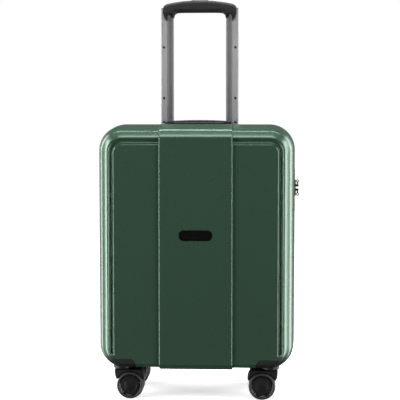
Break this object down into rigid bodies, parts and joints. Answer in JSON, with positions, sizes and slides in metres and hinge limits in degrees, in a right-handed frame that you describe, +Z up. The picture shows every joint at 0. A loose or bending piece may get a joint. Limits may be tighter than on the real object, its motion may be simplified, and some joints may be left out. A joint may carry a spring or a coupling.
{
  "type": "hard shell suitcase on wheels",
  "caption": "Cabin-size hard shell suitcase with zip, combination lock, telescopic trolley handle, carry handles and swivelling twin-wheel casters.",
  "frame": {"origin": "on the floor, under the middle of the case", "axes": "+Z up, the front face looks towards -Y, +X to the right seen from the front"},
  "size_m": [0.3943, 0.2, 0.7888],
  "materials": {
    "shell_green": "satin, fine grain",
    "black_plastic": "matte",
    "gloss_black": "gloss",
    "aluminium_light": "anodised satin",
    "aluminium_dark": "anodised satin",
    "steel": "satin",
    "grey_plastic": "satin",
    "gunmetal": "satin, dark plated",
    "tyre": "matte",
    "tape": "woven",
    "lining": "woven",
    "badge": "dark satin"
  },
  "bodies": {
    "rear_case": {"rear_shell": "shell_green", "rear_zip_tape": "tape", "rear_hinge_tape": "tape", "rear_lining": "lining", "trolley_bezel": "black_plastic", "top_handle_plate": "black_plastic", "side_handle_tray": "black_plastic", "lock_body": "black_plastic", "rear_left_caster_housing": "black_plastic", "rear_right_caster_housing": "black_plastic", "trolley_foot": "black_plastic", "left_outer_tube": "aluminium_dark", "right_outer_tube": "aluminium_dark"},
    "front_case": {"front_shell": "shell_green", "badge": "badge", "front_zip_tape": "tape", "front_hinge_tape": "tape", "front_lining": "lining", "front_left_caster_housing": "black_plastic", "front_right_caster_housing": "black_plastic"},
    "top_handle": {"top_handle": "black_plastic"},
    "side_handle": {"side_handle": "black_plastic"},
    "trolley_first_stage": {"left_channel": "aluminium_light", "right_channel": "aluminium_light"},
    "trolley_grip": {"left_inner_tube": "aluminium_dark", "right_inner_tube": "aluminium_dark", "left_ferrule": "black_plastic", "right_ferrule": "black_plastic", "grip_upper": "black_plastic", "grip_lower": "black_plastic"},
    "grip_button": {"grip_button": "grey_plastic", "release_yoke": "aluminium_dark"},
    "left_lock_pin": {"left_lock_pin": "steel"},
    "right_lock_pin": {"right_lock_pin": "steel"},
    "lock_dial_1": {"lock_dial_1": "steel"},
    "lock_dial_2": {"lock_dial_2": "steel"},
    "lock_dial_3": {"lock_dial_3": "steel"},
    "lock_button": {"lock_button": "gloss_black"},
    "lock_key_cylinder": {"lock_key_cylinder": "steel"},
    "upper_zip_slider": {"upper_zip_slider": "gunmetal"},
    "upper_zip_pull": {"upper_zip_pull": "gunmetal"},
    "lower_zip_slider": {"lower_zip_slider": "gunmetal"},
    "lower_zip_pull": {"lower_zip_pull": "gunmetal"},
    "front_left_fork": {"front_left_fork": "black_plastic", "front_left_axle": "steel"},
    "front_left_outer_wheel": {"front_left_outer_wheel": "tyre"},
    "front_left_inner_wheel": {"front_left_inner_wheel": "tyre"},
    "front_right_fork": {"front_right_fork": "black_plastic", "front_right_axle": "steel"},
    "front_right_outer_wheel": {"front_right_outer_wheel": "tyre"},
    "front_right_inner_wheel": {"front_right_inner_wheel": "tyre"},
    "rear_left_fork": {"rear_left_fork": "black_plastic", "rear_left_axle": "steel"},
    "rear_left_outer_wheel": {"rear_left_outer_wheel": "tyre"},
    "rear_left_inner_wheel": {"rear_left_inner_wheel": "tyre"},
    "rear_right_fork": {"rear_right_fork": "black_plastic", "rear_right_axle": "steel"},
    "rear_right_outer_wheel": {"rear_right_outer_wheel": "tyre"},
    "rear_right_inner_wheel": {"rear_right_inner_wheel": "tyre"}
  },
  "joints": [
    {"name": "case_hinge", "type": "hinge", "parent": "rear_case", "child": "front_case", "pos_m": [-0.1933, 0, 0.29705], "axis": [0, 0, -1], "range_deg": [0, 180]},
    {"name": "top_handle_lift", "type": "slide", "parent": "rear_case", "child": "top_handle", "axis": [0, 0, 1], "range_m": [0, 0.014], "stiffness_N_per_m": 150, "springref_m": -0.005},
    {"name": "side_handle_lift", "type": "slide", "parent": "rear_case", "child": "side_handle", "axis": [1, 0, 0], "range_m": [0, 0.014], "stiffness_N_per_m": 150, "springref_m": -0.005},
    {"name": "trolley_first_stage_slide", "type": "slide", "parent": "rear_case", "child": "trolley_first_stage", "axis": [0, 0, 1], "range_m": [-0.2505, 0]},
    {"name": "trolley_grip_slide", "type": "slide", "parent": "trolley_first_stage", "child": "trolley_grip", "axis": [0, 0, 1], "range_m": [0, 0.214]},
    {"name": "grip_button_press", "type": "slide", "parent": "trolley_grip", "child": "grip_button", "axis": [0, 0, -1], "range_m": [0, 0.004], "stiffness_N_per_m": 600, "springref_m": -0.004},
    {"name": "left_lock_pin_draw", "type": "slide", "parent": "trolley_grip", "child": "left_lock_pin", "axis": [0, 1, 0], "range_m": [0, 0.0012]},
    {"name": "right_lock_pin_draw", "type": "slide", "parent": "trolley_grip", "child": "right_lock_pin", "axis": [0, 1, 0], "range_m": [0, 0.0012]},
    {"name": "lock_dial_1_turn", "type": "hinge", "parent": "rear_case", "child": "lock_dial_1", "pos_m": [0.1883, 0.025, 0.3886], "axis": [0, 0, 1], "continuous": true},
    {"name": "lock_dial_2_turn", "type": "hinge", "parent": "rear_case", "child": "lock_dial_2", "pos_m": [0.1883, 0.025, 0.3801], "axis": [0, 0, 1], "continuous": true},
    {"name": "lock_dial_3_turn", "type": "hinge", "parent": "rear_case", "child": "lock_dial_3", "pos_m": [0.1883, 0.025, 0.3716], "axis": [0, 0, 1], "continuous": true},
    {"name": "lock_button_press", "type": "slide", "parent": "rear_case", "child": "lock_button", "axis": [-1, 0, 0], "range_m": [0, 0.0016], "stiffness_N_per_m": 400, "springref_m": -0.002},
    {"name": "lock_key_turn", "type": "hinge", "parent": "rear_case", "child": "lock_key_cylinder", "pos_m": [0.1933, 0.025, 0.4371], "axis": [1, 0, 0], "range_deg": [0, 90]},
    {"name": "upper_zip_slide", "type": "slide", "parent": "rear_case", "child": "upper_zip_slider", "axis": [0, 0, 1], "range_m": [0, 0.055]},
    {"name": "lower_zip_slide", "type": "slide", "parent": "rear_case", "child": "lower_zip_slider", "axis": [0, 0, -1], "range_m": [0, 0.275]},
    {"name": "upper_zip_pull_swing", "type": "hinge", "parent": "upper_zip_slider", "child": "upper_zip_pull", "pos_m": [0.1982, 0, 0.4148], "axis": [0, 1, 0], "range_deg": [0, 90]},
    {"name": "lower_zip_pull_swing", "type": "hinge", "parent": "lower_zip_slider", "child": "lower_zip_pull", "pos_m": [0.1982, 0, 0.4064], "axis": [0, -1, 0], "range_deg": [0, 90]},
    {"name": "front_left_swivel", "type": "hinge", "parent": "front_case", "child": "front_left_fork", "pos_m": [-0.146, -0.065, 0.058], "axis": [0, 0, 1], "continuous": true},
    {"name": "front_left_outer_roll", "type": "hinge", "parent": "front_left_fork", "child": "front_left_outer_wheel", "pos_m": [-0.129, -0.065, 0.0262], "axis": [0, 1, 0], "continuous": true},
    {"name": "front_left_inner_roll", "type": "hinge", "parent": "front_left_fork", "child": "front_left_inner_wheel", "pos_m": [-0.129, -0.065, 0.0262], "axis": [0, 1, 0], "continuous": true},
    {"name": "front_right_swivel", "type": "hinge", "parent": "front_case", "child": "front_right_fork", "pos_m": [0.146, -0.065, 0.058], "axis": [0, 0, 1], "continuous": true},
    {"name": "front_right_outer_roll", "type": "hinge", "parent": "front_right_fork", "child": "front_right_outer_wheel", "pos_m": [0.129, -0.065, 0.0262], "axis": [0, 1, 0], "continuous": true},
    {"name": "front_right_inner_roll", "type": "hinge", "parent": "front_right_fork", "child": "front_right_inner_wheel", "pos_m": [0.129, -0.065, 0.0262], "axis": [0, 1, 0], "continuous": true},
    {"name": "rear_left_swivel", "type": "hinge", "parent": "rear_case", "child": "rear_left_fork", "pos_m": [-0.146, 0.065, 0.058], "axis": [0, 0, 1], "continuous": true},
    {"name": "rear_left_outer_roll", "type": "hinge", "parent": "rear_left_fork", "child": "rear_left_outer_wheel", "pos_m": [-0.129, 0.065, 0.0262], "axis": [0, 1, 0], "continuous": true},
    {"name": "rear_left_inner_roll", "type": "hinge", "parent": "rear_left_fork", "child": "rear_left_inner_wheel", "pos_m": [-0.129, 0.065, 0.0262], "axis": [0, 1, 0], "continuous": true},
    {"name": "rear_right_swivel", "type": "hinge", "parent": "rear_case", "child": "rear_right_fork", "pos_m": [0.146, 0.065, 0.058], "axis": [0, 0, 1], "continuous": true},
    {"name": "rear_right_outer_roll", "type": "hinge", "parent": "rear_right_fork", "child": "rear_right_outer_wheel", "pos_m": [0.129, 0.065, 0.0262], "axis": [0, 1, 0], "continuous": true},
    {"name": "rear_right_inner_roll", "type": "hinge", "parent": "rear_right_fork", "child": "rear_right_inner_wheel", "pos_m": [0.129, 0.065, 0.0262], "axis": [0, 1, 0], "continuous": true}
  ],
  "couplings": [
    {"joint": "left_lock_pin_draw", "follows": "grip_button_press", "ratio": 0.3},
    {"joint": "right_lock_pin_draw", "follows": "grip_button_press", "ratio": 0.3}
  ]
}
